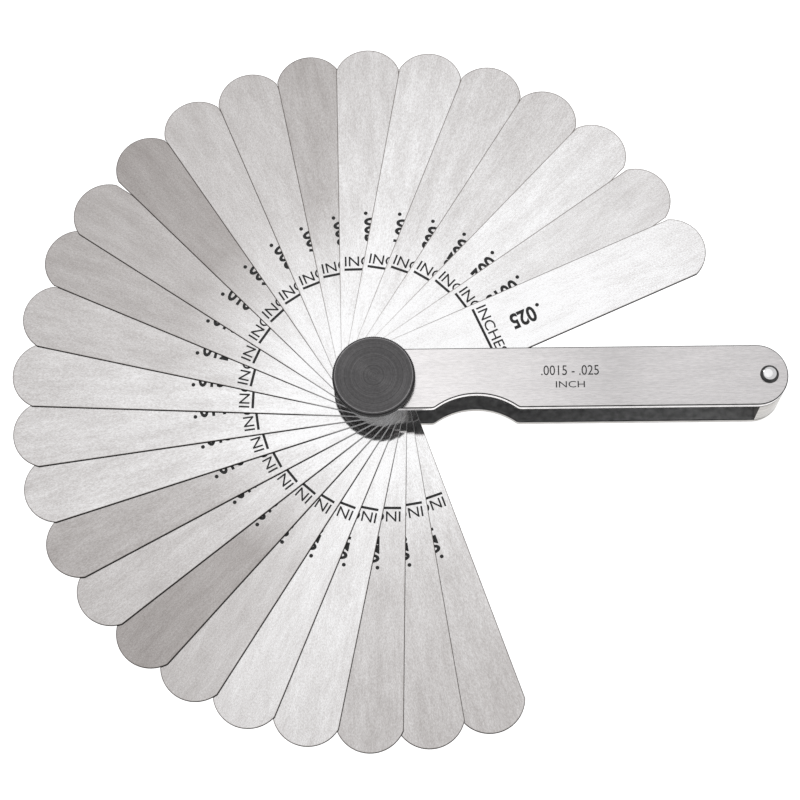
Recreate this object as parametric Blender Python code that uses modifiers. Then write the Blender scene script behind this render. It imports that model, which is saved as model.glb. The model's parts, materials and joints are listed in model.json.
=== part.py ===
"""A leaf feeler gauge: twenty-six steel thickness blades fanned out round the pivot of a two-plate case.

Units are metres and +Z is up, out of the lock screw.  The origin is on the pivot's axis at the underside
of the case, +X runs from the pivot to the riveted end, and the thumb notch opens towards -Y.
The case is a sandwich: two side plates, an end spacer with its rivet, and a hollow pivot post that the
blades turn on.  The knurled lock screw threads into the post and clamps the stack through a washer.
"""

import math

import bmesh
import bpy

MM = 0.001
INCH = 0.0254

# Blades, from the top of the stack to the bottom: thickness in ten-thousandths of an inch.
BLADE_TENTHS = [250, 15, 20, 25] + list(range(30, 241, 10))
BLADE_WIDTH = 12.7 * MM
BLADE_REACH = 71.0 * MM  # from the pivot's axis to the tip
BLADE_TIP_EXTRA = 0.45 * MM  # the tip's radius less half the width: the tip is flatter than a half circle
BLADE_HOLE_CLEARANCE = 0.08 * MM
STACK_GAP = 0.02 * MM  # between flat pieces that lie on each other

# A fan opened by hand has uneven steps: how far round from +X each blade stands, in degrees, top blade first.
FAN_DEGREES = [24, 35.5, 47, 58, 69, 80, 91, 101.5, 112.5, 123.5, 134.5, 146, 156]
FAN_DEGREES += [167, 177.5, 188, 198, 208.5, 218.5, 228.5, 238, 248, 258.5, 269, 279, 289.5]

# Case
CASE_INSET = 0.3 * MM  # how far a blade stands proud of the case's long edges
PLATE_THICKNESS = 1.5 * MM
TIP_CLEARANCE = 3.4 * MM  # from a folded blade's tip to the end spacer
SPACER_FACE_INSET = 0.45 * MM  # the spacer's flat face, beyond the centre of the round end
NOTCH_X = 19.75 * MM
NOTCH_LENGTH = 17.5 * MM
NOTCH_DEPTH = 2.8 * MM
NOTCH_FILLET = 1.6 * MM

# Pivot post
POST_RADIUS = 3.0 * MM
POST_FOOT_RADIUS = 4.5 * MM
POST_FOOT_HEIGHT = 0.8 * MM
POST_BORE_FLOOR = 1.2 * MM
POST_RECESS = 0.4 * MM  # the post's top lies this far below the case's top
PRESS_CLEARANCE = 0.05 * MM

# Lock screw and its washer
HEAD_RADIUS = 8.02 * MM
HEAD_HEIGHT = 2.0 * MM
HEAD_CHAMFER = 0.5 * MM
SHANK_RADIUS = 1.9 * MM
SHANK_CLEARANCE = 0.06 * MM
SHANK_END_GAP = 0.3 * MM
WASHER_RADIUS = 5.8 * MM
WASHER_THICKNESS = 0.25 * MM

# End rivet
RIVET_FROM_END = 3.7 * MM
RIVET_RADIUS = 1.1 * MM
RIVET_HEAD_RADIUS = 1.8 * MM
RIVET_HEAD_HEIGHT = 0.9 * MM
RIVET_TAIL_DEPTH = 0.8 * MM

# How finely round shapes are cut into flats
HOLE_SIDES = 32
ARC_STEP = math.radians(12)
TURN_STEPS = 48

# Worked out from the sizes above
BLADE_TIP_RADIUS = BLADE_WIDTH / 2 + BLADE_TIP_EXTRA
PLATE_RADIUS = BLADE_WIDTH / 2 - CASE_INSET
CASE_REACH = BLADE_REACH + TIP_CLEARANCE + PLATE_RADIUS - SPACER_FACE_INSET
STACK_HEIGHT = sum(BLADE_TENTHS) * INCH / 10000 + (len(BLADE_TENTHS) + 1) * STACK_GAP
TOP_PLATE_BOTTOM = PLATE_THICKNESS + STACK_HEIGHT
CASE_HEIGHT = TOP_PLATE_BOTTOM + PLATE_THICKNESS
WASHER_BOTTOM = CASE_HEIGHT + STACK_GAP
HEAD_BOTTOM = WASHER_BOTTOM + WASHER_THICKNESS + STACK_GAP
END_CENTRE_X = CASE_REACH - PLATE_RADIUS
RIVET_X = CASE_REACH - RIVET_FROM_END


def clear_scene():
    for obj in list(bpy.data.objects):
        bpy.data.objects.remove(obj, do_unlink=True)


def new_collection(name):
    collection = bpy.data.collections.new(name)
    bpy.context.scene.collection.children.link(collection)
    return collection


def steel(name, colour, roughness):
    """A metal finish."""
    material = bpy.data.materials.new(name)
    material.use_nodes = True
    shader = material.node_tree.nodes["Principled BSDF"]
    shader.inputs["Base Color"].default_value = (*colour, 1.0)
    shader.inputs["Metallic"].default_value = 1.0
    shader.inputs["Roughness"].default_value = roughness
    return material


def arc(centre_x, centre_y, radius, start, end):
    """Points along an arc, both ends included; angles in radians, and it may run either way round."""
    steps = max(2, round(abs(end - start) / ARC_STEP))
    angles = [start + (end - start) * i / steps for i in range(steps + 1)]
    return [(centre_x + radius * math.cos(a), centre_y + radius * math.sin(a)) for a in angles]


def round_hole(x, radius):
    angles = [2 * math.pi * i / HOLE_SIDES for i in range(HOLE_SIDES)]
    return [(x + radius * math.cos(a), radius * math.sin(a)) for a in angles]


def flat_piece(name, outline, holes, bottom, thickness, material):
    """A flat piece cut from sheet, lying on the height bottom."""
    curve = bpy.data.curves.new(name, "CURVE")
    curve.dimensions = "2D"
    curve.fill_mode = "BOTH"
    curve.extrude = thickness / 2
    for points in [outline, *holes]:
        spline = curve.splines.new("POLY")
        spline.points.add(len(points) - 1)
        for point, (x, y) in zip(spline.points, points):
            point.co = (x, y, 0.0, 1.0)
        spline.use_cyclic_u = True
    curve.materials.append(material)
    obj = bpy.data.objects.new(name, curve)
    obj.location.z = bottom + thickness / 2
    PARTS.objects.link(obj)
    return obj


def turned_piece(name, profile, x, material):
    """A solid turned about a vertical axis at x; the profile is (radius, height), down its outer side."""
    mesh = bpy.data.meshes.new(name)
    edges = [(i, i + 1) for i in range(len(profile) - 1)]
    mesh.from_pydata([(radius, 0.0, height) for radius, height in profile], edges, [])
    mesh.materials.append(material)
    obj = bpy.data.objects.new(name, mesh)
    obj.location.x = x
    PARTS.objects.link(obj)
    screw = obj.modifiers.new("turn", "SCREW")
    screw.axis = "Z"
    screw.steps = TURN_STEPS
    screw.render_steps = TURN_STEPS
    screw.use_merge_vertices = True
    screw.merge_threshold = 0.001 * MM
    screw.use_smooth_shade = False
    return obj


def as_mesh(obj):
    """The same piece as a closed mesh, so that a Boolean can cut it."""
    name = obj.name
    bpy.context.view_layer.update()
    evaluated = obj.evaluated_get(bpy.context.evaluated_depsgraph_get())
    mesh = bpy.data.meshes.new_from_object(evaluated)
    work = bmesh.new()
    work.from_mesh(mesh)
    bmesh.ops.remove_doubles(work, verts=work.verts, dist=0.001 * MM)
    work.to_mesh(mesh)
    work.free()
    solid = bpy.data.objects.new(name, mesh)
    solid.matrix_world = obj.matrix_world.copy()
    bpy.data.objects.remove(obj, do_unlink=True)
    solid.name = name
    PARTS.objects.link(solid)
    return solid


def cone_cutter(name, x, low, low_radius, high, high_radius):
    """A hidden solid between two heights, whose radius may change from one to the other."""
    work = bmesh.new()
    bmesh.ops.create_cone(
        work, cap_ends=True, segments=TURN_STEPS, radius1=low_radius, radius2=high_radius, depth=high - low
    )
    mesh = bpy.data.meshes.new(name)
    work.to_mesh(mesh)
    work.free()
    obj = bpy.data.objects.new(name, mesh)
    obj.location = (x, 0.0, (low + high) / 2)
    obj.hide_render = True
    obj.display_type = "WIRE"
    CUTTERS.objects.link(obj)
    return obj


def cut(obj, cutter):
    boolean = obj.modifiers.new(cutter.name, "BOOLEAN")
    boolean.operation = "DIFFERENCE"
    boolean.object = cutter


def blade_outline():
    half = BLADE_WIDTH / 2
    spread = math.asin(half / BLADE_TIP_RADIUS)
    tip = arc(BLADE_REACH - BLADE_TIP_RADIUS, 0.0, BLADE_TIP_RADIUS, -spread, spread)
    tail = arc(0.0, 0.0, half, math.pi / 2, 3 * math.pi / 2)
    return tip + tail


def add_blades():
    """The stack, built down from the top plate; each blade's origin is on the pivot's axis."""
    outline = blade_outline()
    hole = round_hole(0.0, POST_RADIUS + BLADE_HOLE_CLEARANCE)
    height = TOP_PLATE_BOTTOM
    for tenths, degrees in zip(BLADE_TENTHS, FAN_DEGREES, strict=True):
        thickness = tenths * INCH / 10000
        height -= STACK_GAP + thickness
        blade = flat_piece(f"blade_{tenths:04d}", outline, [hole], height, thickness, GROUND_STEEL)
        blade.rotation_euler.z = math.radians(degrees)


def notch_points():
    """The thumb notch along the plate's -Y edge, towards +X: a fillet, the finger's arc and a fillet."""
    half = NOTCH_LENGTH / 2
    # The arc's radius, for which arc and fillets together have the stated length and depth.
    radius = (half**2 + NOTCH_DEPTH**2) / (2 * NOTCH_DEPTH) - NOTCH_FILLET
    arc_y = -PLATE_RADIUS + NOTCH_DEPTH - radius
    fillet_y = -PLATE_RADIUS + NOTCH_FILLET
    turn = math.acos((fillet_y - arc_y) / (radius + NOTCH_FILLET))
    offset = (radius + NOTCH_FILLET) * math.sin(turn)
    start = arc(NOTCH_X - offset, fillet_y, NOTCH_FILLET, -math.pi / 2, -math.pi / 2 + turn)
    finger = arc(NOTCH_X, arc_y, radius, math.pi / 2 + turn, math.pi / 2 - turn)
    end = arc(NOTCH_X + offset, fillet_y, NOTCH_FILLET, -math.pi / 2 - turn, -math.pi / 2)
    return start + finger[1:-1] + end


def plate_outline():
    far_end = arc(END_CENTRE_X, 0.0, PLATE_RADIUS, -math.pi / 2, math.pi / 2)
    pivot_end = arc(0.0, 0.0, PLATE_RADIUS, math.pi / 2, 3 * math.pi / 2)
    return far_end + pivot_end + notch_points()


def add_side_plates():
    outline = plate_outline()
    post_hole = round_hole(0.0, POST_RADIUS + PRESS_CLEARANCE)
    rivet_hole = round_hole(RIVET_X, RIVET_RADIUS + PRESS_CLEARANCE)
    holes = [post_hole, rivet_hole]
    flat_piece("side_plate_top", outline, holes, TOP_PLATE_BOTTOM, PLATE_THICKNESS, PLATE_STEEL)
    bottom = as_mesh(flat_piece("side_plate_bottom", outline, holes, 0.0, PLATE_THICKNESS, PLATE_STEEL))
    seat_radius = POST_FOOT_RADIUS + PRESS_CLEARANCE
    seat_height = POST_FOOT_HEIGHT + STACK_GAP
    cut(bottom, cone_cutter("foot_counterbore", 0.0, -seat_height, seat_radius, seat_height, seat_radius))
    # The countersink's slope is carried on below the plate, so that the cutter ends clear of its face.
    slope = (RIVET_HEAD_RADIUS - RIVET_RADIUS) / RIVET_TAIL_DEPTH
    low = -RIVET_TAIL_DEPTH / 2
    low_radius = RIVET_HEAD_RADIUS + PRESS_CLEARANCE - slope * low
    high_radius = RIVET_RADIUS + PRESS_CLEARANCE / 2
    high = RIVET_TAIL_DEPTH + PRESS_CLEARANCE / 2 / slope
    cut(bottom, cone_cutter("rivet_countersink", RIVET_X, low, low_radius, high, high_radius))


def add_end_spacer():
    """The rounded block that holds the plates apart beyond the folded blades' tips."""
    spread = math.acos(SPACER_FACE_INSET / PLATE_RADIUS)
    outline = arc(END_CENTRE_X, 0.0, PLATE_RADIUS, -spread, spread)
    hole = round_hole(RIVET_X, RIVET_RADIUS + PRESS_CLEARANCE)
    height = STACK_HEIGHT - 2 * STACK_GAP
    flat_piece("end_spacer", outline, [hole], PLATE_THICKNESS + STACK_GAP, height, PLATE_STEEL)


def add_end_rivet():
    """A domed head on the top plate, a plain shank, and a tail spread flush into the bottom plate."""
    seat = CASE_HEIGHT + STACK_GAP
    sphere = (RIVET_HEAD_RADIUS**2 + RIVET_HEAD_HEIGHT**2) / (2 * RIVET_HEAD_HEIGHT)
    spread = math.asin(RIVET_HEAD_RADIUS / sphere)
    dome = arc(0.0, seat + RIVET_HEAD_HEIGHT - sphere, sphere, math.pi / 2, math.pi / 2 - spread)
    profile = [(0.0, dome[0][1])] + dome[1:] + [
        (RIVET_RADIUS, seat),
        (RIVET_RADIUS, RIVET_TAIL_DEPTH),
        (RIVET_HEAD_RADIUS, 0.0),
        (0.0, 0.0),
    ]
    turned_piece("end_rivet", profile, RIVET_X, POLISHED_STEEL)


def add_pivot_post():
    """A threaded sleeve on a flush foot; its blind bore takes the lock screw."""
    top = CASE_HEIGHT - POST_RECESS
    bore_radius = SHANK_RADIUS + SHANK_CLEARANCE
    profile = [
        (0.0, POST_BORE_FLOOR),
        (bore_radius, POST_BORE_FLOOR),
        (bore_radius, top),
        (POST_RADIUS, top),
        (POST_RADIUS, POST_FOOT_HEIGHT),
        (POST_FOOT_RADIUS, POST_FOOT_HEIGHT),
        (POST_FOOT_RADIUS, 0.0),
        (0.0, 0.0),
    ]
    turned_piece("pivot_post", profile, 0.0, POLISHED_STEEL)


def add_lock_washer():
    """The captive washer that the lock screw's head bears on."""
    hole_radius = SHANK_RADIUS + SHANK_CLEARANCE
    outline = round_hole(0.0, WASHER_RADIUS)
    hole = round_hole(0.0, hole_radius)
    flat_piece("lock_washer", outline, [hole], WASHER_BOTTOM, WASHER_THICKNESS, POLISHED_STEEL)


def add_lock_screw():
    top = HEAD_BOTTOM + HEAD_HEIGHT
    profile = [
        (0.0, top),
        (HEAD_RADIUS - HEAD_CHAMFER, top),
        (HEAD_RADIUS, top - HEAD_CHAMFER),
        (HEAD_RADIUS, HEAD_BOTTOM),
        (SHANK_RADIUS, HEAD_BOTTOM),
        (SHANK_RADIUS, POST_BORE_FLOOR + SHANK_END_GAP),
        (0.0, POST_BORE_FLOOR + SHANK_END_GAP),
    ]
    turned_piece("lock_screw", profile, 0.0, BLACK_OXIDE)


clear_scene()
PARTS = new_collection("feeler_gauge")
CUTTERS = new_collection("cutters")
GROUND_STEEL = steel("ground_steel", (0.72, 0.71, 0.69), 0.35)
PLATE_STEEL = steel("plate_steel", (0.66, 0.66, 0.65), 0.4)
POLISHED_STEEL = steel("polished_steel", (0.8, 0.8, 0.8), 0.15)
BLACK_OXIDE = steel("black_oxide", (0.06, 0.06, 0.06), 0.45)
add_side_plates()
add_end_spacer()
add_end_rivet()
add_pivot_post()
add_blades()
add_lock_washer()
add_lock_screw()
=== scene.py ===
# %% [markdown]
# # A leaf feeler gauge, fanned open
#
# A feeler gauge is a fitter's tool: a stack of thin steel blades, each ground to a stated thickness,
# that turn on a post at one end of a slim steel case.  A round black lock screw clamps the stack.
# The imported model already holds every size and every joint.  This lesson leaves those alone and makes
# the fine surfaces: ground blades, brushed case, polished rivet, turned and knurled lock screw, lettering.

# %% Load the frame
import json
import math

import bmesh
import bpy
from mathutils import Matrix, Vector


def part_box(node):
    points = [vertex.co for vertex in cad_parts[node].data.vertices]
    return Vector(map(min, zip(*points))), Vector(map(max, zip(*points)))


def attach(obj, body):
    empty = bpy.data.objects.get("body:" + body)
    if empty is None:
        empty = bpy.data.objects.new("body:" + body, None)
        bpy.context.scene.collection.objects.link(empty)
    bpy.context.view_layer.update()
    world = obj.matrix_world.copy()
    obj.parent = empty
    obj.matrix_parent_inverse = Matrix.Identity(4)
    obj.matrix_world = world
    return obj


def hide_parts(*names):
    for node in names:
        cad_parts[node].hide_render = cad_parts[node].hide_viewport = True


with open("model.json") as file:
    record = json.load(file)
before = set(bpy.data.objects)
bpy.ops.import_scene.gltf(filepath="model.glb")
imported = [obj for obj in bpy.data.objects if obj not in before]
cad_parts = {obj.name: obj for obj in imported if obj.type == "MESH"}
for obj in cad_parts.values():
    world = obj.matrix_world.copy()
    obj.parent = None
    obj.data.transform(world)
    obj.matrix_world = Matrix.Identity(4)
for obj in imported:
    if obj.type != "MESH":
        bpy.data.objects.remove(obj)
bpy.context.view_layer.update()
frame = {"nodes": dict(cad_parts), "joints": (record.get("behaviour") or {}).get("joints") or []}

MM = 0.001


def link(name, data):
    """A new object in the scene that shows this data."""
    obj = bpy.data.objects.new(name, data)
    bpy.context.scene.collection.objects.link(obj)
    return obj


# %% [markdown]
# ## Sizes from the frame
#
# Nothing is measured twice.  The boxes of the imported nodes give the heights, widths and lengths, and
# each blade's joint says how far it stands from its folded place, because its lower limit is "folded".

# %% Sizes and angles
PLATE_LOW, PLATE_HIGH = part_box("side_plate_top")
HEAD_LOW, HEAD_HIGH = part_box("lock_screw")
RIVET_LOW, RIVET_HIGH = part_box("end_rivet")
SPACER_LOW, SPACER_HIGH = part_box("end_spacer")
WASHER_LOW, WASHER_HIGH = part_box("lock_washer")
PLATE_THICKNESS = PLATE_HIGH.z - PLATE_LOW.z
PLATE_RADIUS = (PLATE_HIGH.y - PLATE_LOW.y) / 2
CASE_REACH = PLATE_HIGH.x
BLADE_ANGLES = {
    joint["child"]: math.radians(-joint["range_deg"][0])
    for joint in frame["joints"]
    if joint["child"].startswith("blade")
}
print(len(BLADE_ANGLES), "blades; the case reaches", round(CASE_REACH / MM, 1), "mm from the pivot")

# %% [markdown]
# ## Camera
#
# The gauge is seen from high above, as on a bench: a long lens, 73 degrees above the table and nearly
# square to the case.  The camera's three axes are worked out from those angles and set as one matrix,
# and its place follows from the distance and from how far the middle of the view lies from the pivot.

# %% Camera
CAMERA_HEADING = math.radians(2.53)
CAMERA_ELEVATION = math.radians(73.02)
CAMERA_ROLL = math.radians(3.04)
CAMERA_DISTANCE = 430.8 * MM
CAMERA_RIGHT = 4.96 * MM
CAMERA_DOWN = 2.41 * MM
CAMERA_TARGET = Vector((0.0, 0.0, 6.0 * MM))
CAMERA_LENS = 99.0


def camera_axes():
    """The camera's right, up and backward directions."""
    x, y = math.cos(CAMERA_HEADING), math.sin(CAMERA_HEADING)
    flat = math.cos(CAMERA_ELEVATION)
    right = Vector((x, y, 0.0))
    back = Vector((y * flat, -x * flat, math.sin(CAMERA_ELEVATION)))
    up = back.cross(right)
    turned_right = math.cos(CAMERA_ROLL) * right - math.sin(CAMERA_ROLL) * up
    turned_up = math.sin(CAMERA_ROLL) * right + math.cos(CAMERA_ROLL) * up
    return turned_right, turned_up, back


def add_camera():
    right, up, back = camera_axes()
    data = bpy.data.cameras.new("camera")
    data.lens = CAMERA_LENS
    data.clip_start = 0.01
    camera = link("camera", data)
    place = CAMERA_TARGET + CAMERA_DISTANCE * back + CAMERA_RIGHT * right - CAMERA_DOWN * up
    camera.matrix_world = Matrix.Translation(place) @ Matrix((right, up, back)).transposed().to_4x4()
    bpy.context.scene.camera = camera
    return camera


camera = add_camera()
print("camera height in mm:", round(camera.location.z / MM))

# %% [markdown]
# ## Node helpers
#
# Every material and every Geometry Nodes tree below is a handful of nodes.  One helper adds a node, and
# another links each of its inputs or sets its value, so that a tree reads as a list of what feeds what.

# %% Helpers for node trees
def feed(tree, node, inputs):
    """Give the node's inputs these sockets to link from, or plain values."""
    for key, value in inputs.items():
        if isinstance(value, bpy.types.NodeSocket):
            tree.links.new(value, node.inputs[key])
        else:
            node.inputs[key].default_value = value


def add_node(tree, kind, inputs=None, **settings):
    made = tree.nodes.new(kind)
    for name, value in settings.items():
        setattr(made, name, value)
    feed(tree, made, inputs or {})
    return made


def maths(tree, operation, first, second=0.0):
    """The result socket of one Math node."""
    return add_node(tree, "ShaderNodeMath", {0: first, 1: second}, operation=operation).outputs[0]


def product(tree, first, *others):
    """All these sockets multiplied together."""
    for other in others:
        first = maths(tree, "MULTIPLY", first, other)
    return first


def combine(tree, x=0.0, y=0.0, z=0.0):
    """A vector socket from three parts."""
    return add_node(tree, "ShaderNodeCombineXYZ", {0: x, 1: y, 2: z}).outputs[0]


def part(tree, vector, axis):
    """The X, Y or Z of a vector socket."""
    return add_node(tree, "ShaderNodeSeparateXYZ", {0: vector}).outputs[axis]


def new_material(name):
    """A material, its tree and its shader node."""
    material = bpy.data.materials.new(name)
    material.use_nodes = True
    return material, material.node_tree, material.node_tree.nodes["Principled BSDF"]


print("helpers ready")

# %% [markdown]
# ## Floor and light
#
# Bright metal shows what is around it, so the room matters more than the lamps.  A light tent does the
# job: a pale floor that glows a little, a pale sky with a darker band near the horizon to draw the rims
# of round parts, and one soft box above, placed where flat blades mirror it towards the camera.  A
# small one at the side only reaches the camera off turned faces, where it draws a fan of light.

# %% Floor, sky and soft boxes
FLOOR_SIZE = 4.0
FLOOR_GAP = 0.05 * MM
LOW_SKY = (0.12, (0.22, 0.22, 0.23, 1.0))  # the sine of a height above the horizon, and the colour there
HIGH_SKY = (0.42, (0.70, 0.70, 0.71, 1.0))


def add_floor():
    bpy.ops.mesh.primitive_plane_add(size=FLOOR_SIZE, location=(0.0, 0.0, -FLOOR_GAP))
    floor = bpy.context.object
    floor.name = "floor"
    material, tree, shader = new_material("pale floor")
    look = {
        "Base Color": (0.6, 0.6, 0.6, 1.0),
        "Roughness": 0.9,
        "Specular IOR Level": 0.0,
        "Emission Color": (1.0, 1.0, 1.0, 1.0),
        "Emission Strength": 0.9,
    }
    feed(tree, shader, look)
    floor.data.materials.append(material)


def add_sky():
    world = bpy.data.worlds.new("light tent")
    world.use_nodes = True
    tree = world.node_tree
    direction = add_node(tree, "ShaderNodeTexCoord").outputs["Generated"]
    ramp = add_node(tree, "ShaderNodeValToRGB", {0: part(tree, direction, "Z")})
    for stop, (height, colour) in zip(ramp.color_ramp.elements, (LOW_SKY, HIGH_SKY)):
        stop.position = height
        stop.color = colour
    feed(tree, tree.nodes["Background"], {"Color": ramp.outputs["Color"]})
    bpy.context.scene.world = world


def add_soft_box(name, place, size, energy):
    """A round soft box that faces the pivot."""
    data = bpy.data.lights.new(name, "AREA")
    data.shape = "DISK"
    data.size = size
    data.energy = energy
    light = link(name, data)
    light.location = place
    light.rotation_euler = (-light.location).to_track_quat("-Z", "Y").to_euler()


add_floor()
add_sky()
add_soft_box("soft box", place=(-0.01, 0.15, 0.50), size=0.38, energy=0.112)
add_soft_box("side box", place=(-0.25, 0.32, 0.34), size=0.14, energy=0.24)
bpy.context.scene.view_settings.view_transform = "Standard"
print("stage set")

# %% [markdown]
# ## Finishes
#
# Four steels make the tool, and darker finishes its edges, rims and inner faces, which are painted shade.
# *Ground steel* has its grain along the blade, so its pattern has to turn with the blade: it reads an
# attribute, "leaf", that holds each point's place along and across the blade.  *Plate steel* is brushed
# along the case.  *Polished steel* is nearly a mirror.  *Black oxide* is a thin dark skin, turned in fine
# rings.  A worked surface gets its grain from noise stretched along the working direction.

# %% Helpers for materials
NOISE_LOW = 0.3  # nearly all of the noise lies between these
NOISE_HIGH = 0.7


def own_place(tree):
    """Where each point lies on its own object, in metres."""
    return add_node(tree, "ShaderNodeTexCoord").outputs["Object"]


def noise_at(tree, place, detail):
    inputs = {"Vector": place, "Scale": 1.0, "Detail": detail}
    return add_node(tree, "ShaderNodeTexNoise", inputs).outputs["Fac"]


def stretched_noise(tree, place, counts, detail=3.0):
    """Noise between 0 and 1 with this many cells a metre along X, Y and Z."""
    scaled = add_node(tree, "ShaderNodeMapping", {"Vector": place, "Scale": counts}).outputs[0]
    return noise_at(tree, scaled, detail)


def remapped(tree, value, low, high, new_low, new_high):
    """The value's range low..high carried to new_low..new_high, and held there beyond it."""
    inputs = {0: value, 1: low, 2: high, 3: new_low, 4: new_high}
    return add_node(tree, "ShaderNodeMapRange", inputs).outputs[0]


def varied(tree, noise, low, high):
    """Noise carried to low..high."""
    return remapped(tree, noise, NOISE_LOW, NOISE_HIGH, low, high)


def grey(tree, level, tint=(1.0, 1.0, 1.0)):
    """A grey of this level, slightly tinted."""
    parts = {i: maths(tree, "MULTIPLY", level, share) for i, share in enumerate(tint)}
    return add_node(tree, "ShaderNodeCombineColor", parts).outputs[0]


def bump(tree, height, distance):
    inputs = {"Strength": 1.0, "Distance": distance, "Height": height}
    return add_node(tree, "ShaderNodeBump", inputs).outputs[0]


def plain_finish(name, counts, detail, levels, roughness, tint=(1.0, 1.0, 1.0), **more):
    """A finish without a working direction: one noise varies both its grey and its roughness."""
    material, tree, shader = new_material(name)
    noise = stretched_noise(tree, own_place(tree), counts, detail)
    colour = grey(tree, varied(tree, noise, *levels), tint)
    feed(tree, shader, {"Base Color": colour, "Roughness": varied(tree, noise, *roughness), **more})
    return material


print("material helpers ready")

# %% [markdown]
# ### Ground steel for the blades
#
# A blade comes off the grinder nearly white.  Fingers and oil dull its outer half, some blades much more
# than others, so a "tone" attribute says how dark that half has become and the colour fades to it with
# the distance along the blade.  Clouds, short streaks and a fine speckle vary it, old steel turns warmer
# as it darkens, and a thin darker line painted along the outline is painted shade of the gap between
# blades.

# %% Ground steel
BLADE_WIDTH = 12.7 * MM
BLADE_REACH = 71.0 * MM
BLADE_TIP_RADIUS = 6.8 * MM
GAP_SHADE_WIDTH = 0.15 * MM
GAP_SHADE_SHARE = 0.34
NEW_LEVEL = 0.94
BRIGHTEST_LEVEL = 0.98
GREEN_POWER = 1.07  # how much faster than red the other colours darken with age
BLUE_POWER = 1.11


def painted_gap_shade(tree, leaf, along):
    """A factor that falls along the blade's outline, most of all in its outer half: painted shade of the
    gap between blades.
    """
    across = maths(tree, "ABSOLUTE", part(tree, leaf, "Y"))
    tip_x = BLADE_REACH - BLADE_TIP_RADIUS
    ends = {0: combine(tree, along, across), 1: combine(tree, tip_x)}
    from_tip = add_node(tree, "ShaderNodeVectorMath", ends, operation="DISTANCE").outputs["Value"]
    outside = maths(tree, "SUBTRACT", from_tip, BLADE_TIP_RADIUS)
    past_tip = maths(tree, "GREATER_THAN", along, tip_x)
    before_tip = maths(tree, "SUBTRACT", past_tip, 1.0)
    round_part = maths(tree, "ADD", product(tree, outside, past_tip), before_tip)
    straight_part = maths(tree, "SUBTRACT", across, BLADE_WIDTH / 2)
    nearest = maths(tree, "MAXIMUM", round_part, straight_part)
    line = remapped(tree, nearest, -1.3 * GAP_SHADE_WIDTH, -0.7 * GAP_SHADE_WIDTH, 0.0, 1.0)
    line = product(tree, line, remapped(tree, along, 8 * MM, 30 * MM, 0.45, 1.0))
    return remapped(tree, line, 0.0, 1.0, 1.0, GAP_SHADE_SHARE)


def aged_steel(tree, level):
    """Grey that turns a little warmer as it darkens."""
    green = maths(tree, "POWER", level, GREEN_POWER)
    blue = maths(tree, "POWER", level, BLUE_POWER)
    return add_node(tree, "ShaderNodeCombineColor", {0: level, 1: green, 2: blue}).outputs[0]


def ground_steel():
    material, tree, shader = new_material("ground steel")
    leaf = add_node(tree, "ShaderNodeAttribute", attribute_name="leaf").outputs["Vector"]
    tone = add_node(tree, "ShaderNodeAttribute", attribute_name="tone").outputs["Fac"]
    along = part(tree, leaf, "X")
    wear = remapped(tree, along, 14 * MM, 40 * MM, 0.0, 1.0)
    level = add_node(tree, "ShaderNodeMix", {"Factor": wear, "A": NEW_LEVEL, "B": tone}).outputs[0]
    clouds = varied(tree, stretched_noise(tree, leaf, (90.0, 380.0, 90.0), 5.0), 0.92, 1.07)
    streaks = varied(tree, stretched_noise(tree, leaf, (380.0, 1900.0, 90.0)), 0.95, 1.05)
    grain = stretched_noise(tree, leaf, (2600.0, 5600.0, 90.0), 2.0)
    speckle = varied(tree, grain, 0.84, 1.13)
    handled = remapped(tree, along, 45 * MM, 68 * MM, 1.03, 0.92)
    level = product(tree, level, clouds, streaks, speckle, handled, painted_gap_shade(tree, leaf, along))
    level = maths(tree, "MINIMUM", level, BRIGHTEST_LEVEL)
    roughness = remapped(tree, along, 10 * MM, 30 * MM, 0.07, 0.15)
    roughness = product(tree, roughness, remapped(tree, streaks, 0.95, 1.05, 1.15, 0.85))
    look = {
        "Base Color": aged_steel(tree, level),
        "Metallic": 1.0,
        "Roughness": roughness,
        "Normal": bump(tree, grain, 0.0005 * MM),
    }
    feed(tree, shader, look)
    return material


GROUND_STEEL = ground_steel()
print("made", GROUND_STEEL.name)

# %% [markdown]
# ### Blade edges
#
# The edges are sheared and then left alone.  Their finish is painted dark, dull and coarse: painted shade
# for the thin black gaps that part one blade from the next.  Close to the post the painted shade stops,
# and there they are bright metal.

# %% Sheared edge
BRIGHT_EDGE = 0.5
EDGE_SHADE_LEVELS = (0.008, 0.024)


def edge_with_gap_shade():
    material, tree, shader = new_material("edge with gap shade")
    leaf = add_node(tree, "ShaderNodeAttribute", attribute_name="leaf").outputs["Vector"]
    near_post = remapped(tree, part(tree, leaf, "X"), 9 * MM, 15 * MM, 1.0, 0.0)
    noise = stretched_noise(tree, own_place(tree), (1500.0, 1500.0, 6000.0))
    bright = maths(tree, "MULTIPLY", near_post, BRIGHT_EDGE)
    # Away from the post the edge is painted nearly black: painted shade of the gap between blades.
    level = maths(tree, "ADD", varied(tree, noise, *EDGE_SHADE_LEVELS), bright)
    look = {
        "Base Color": grey(tree, level),
        "Metallic": near_post,
        "Roughness": varied(tree, noise, 0.5, 0.7),
        "Specular IOR Level": 0.15,
    }
    feed(tree, shader, look)
    return material


EDGE_WITH_GAP_SHADE = edge_with_gap_shade()
print("made", EDGE_WITH_GAP_SHADE.name)
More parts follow.
